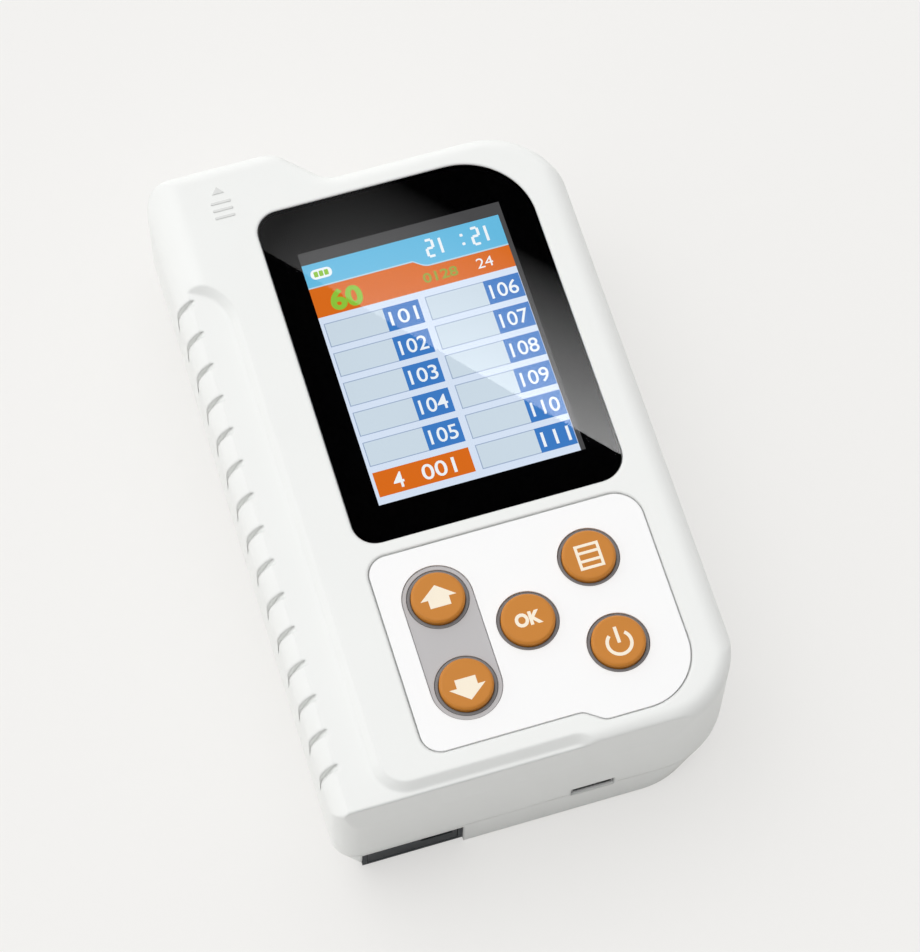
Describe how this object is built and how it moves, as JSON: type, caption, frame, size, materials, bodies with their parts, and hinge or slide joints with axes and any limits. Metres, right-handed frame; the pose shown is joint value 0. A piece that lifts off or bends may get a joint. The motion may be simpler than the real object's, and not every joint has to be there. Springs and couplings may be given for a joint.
{
  "type": "handheld urine analyzer",
  "caption": "Palm-sized strip reader with a tall screen, a round-key keypad, a stepped shoulder, a lowered grip band and a motorised test-strip tray at one end.",
  "frame": {"origin": "under the middle of the body, on the plane that the rear cover lies on", "axes": "+Z out of the screen, +Y towards the end with the raised shoulder, -Y towards the end with the tray mouth and the charging socket, -X towards the grip band"},
  "size_m": [0.074, 0.126, 0.0309],
  "materials": {
    "front_shell": "fine satin moulded surface",
    "rear_shell": "fine matt moulded surface",
    "lens_black": "glossy, black print behind a clear panel",
    "display_glass": "glossy",
    "foam_black": "foam",
    "holder_white": "moulded",
    "plate_white": "glossy film",
    "inlay_grey": "satin",
    "mat_grey": "silicone",
    "key_orange": "satin moulded, cream print",
    "board_green": "solder mask",
    "switch_black": "moulded",
    "steel": "plated",
    "battery_foil": "foil pouch",
    "socket_steel": "plated",
    "guide_dark": "moulded",
    "tray_grey": "moulded",
    "tile_white": "glazed",
    "head_black": "moulded",
    "window_clear": "clear",
    "gear_white": "moulded"
  },
  "bodies": {
    "housing": {"front_cover": "front_shell", "rear_cover": "rear_shell", "cover_screws": "steel", "screen_lens": "lens_black", "lcd_module": "display_glass", "lcd_gasket": "foam_black", "lcd_holder": "holder_white", "keypad_plate": "plate_white", "arrow_inlay": "inlay_grey", "key_mat": "mat_grey", "key_switches": "switch_black", "main_board": "board_green", "buzzer": "switch_black", "board_screws": "steel", "battery": "battery_foil", "charge_board": "board_green", "usb_socket": "socket_steel", "charge_screws": "steel", "tray_guide": "guide_dark", "optical_head": "head_black", "head_window": "window_clear", "optical_board": "board_green", "head_screws": "steel", "gear_axle": "steel", "drive_plate": "steel", "tray_motor": "steel", "plate_screws": "steel", "motor_screws": "steel"},
    "tray": {"strip_tray": "tray_grey", "reference_tile": "tile_white"},
    "gear": {"compound_gear": "gear_white"},
    "motor_rotor": {"motor_pinion": "gear_white"},
    "up_button": {"up_key": "key_orange"},
    "down_button": {"down_key": "key_orange"},
    "ok_button": {"ok_key": "key_orange"},
    "menu_button": {"menu_key": "key_orange"},
    "power_button": {"power_key": "key_orange"}
  },
  "joints": [
    {"name": "tray_slide", "type": "slide", "parent": "housing", "child": "tray", "axis": [0, -1, 0], "range_m": [0, 0.085]},
    {"name": "gear_spin", "type": "hinge", "parent": "housing", "child": "gear", "pos_m": [-0.01273, -0.044, 0.006], "axis": [0, 0, 1], "range_deg": [0, 1630]},
    {"name": "motor_spin", "type": "hinge", "parent": "housing", "child": "motor_rotor", "pos_m": [-0.00261, -0.044, 0.009], "axis": [0, 0, 1], "range_deg": [-4890, 0]},
    {"name": "up_press", "type": "slide", "parent": "housing", "child": "up_button", "axis": [0, 0, -1], "range_m": [0, 0.0005], "stiffness_N_per_m": 400, "springref_m": -0.0008},
    {"name": "down_press", "type": "slide", "parent": "housing", "child": "down_button", "axis": [0, 0, -1], "range_m": [0, 0.0005], "stiffness_N_per_m": 400, "springref_m": -0.0008},
    {"name": "ok_press", "type": "slide", "parent": "housing", "child": "ok_button", "axis": [0, 0, -1], "range_m": [0, 0.0005], "stiffness_N_per_m": 400, "springref_m": -0.0008},
    {"name": "menu_press", "type": "slide", "parent": "housing", "child": "menu_button", "axis": [0, 0, -1], "range_m": [0, 0.0005], "stiffness_N_per_m": 400, "springref_m": -0.0008},
    {"name": "power_press", "type": "slide", "parent": "housing", "child": "power_button", "axis": [0, 0, -1], "range_m": [0, 0.0005], "stiffness_N_per_m": 400, "springref_m": -0.0008}
  ],
  "couplings": [
    {"joint": "gear_spin", "follows": "tray_slide", "rad_per_m": 333.33},
    {"joint": "motor_spin", "follows": "tray_slide", "rad_per_m": -1000}
  ]
}
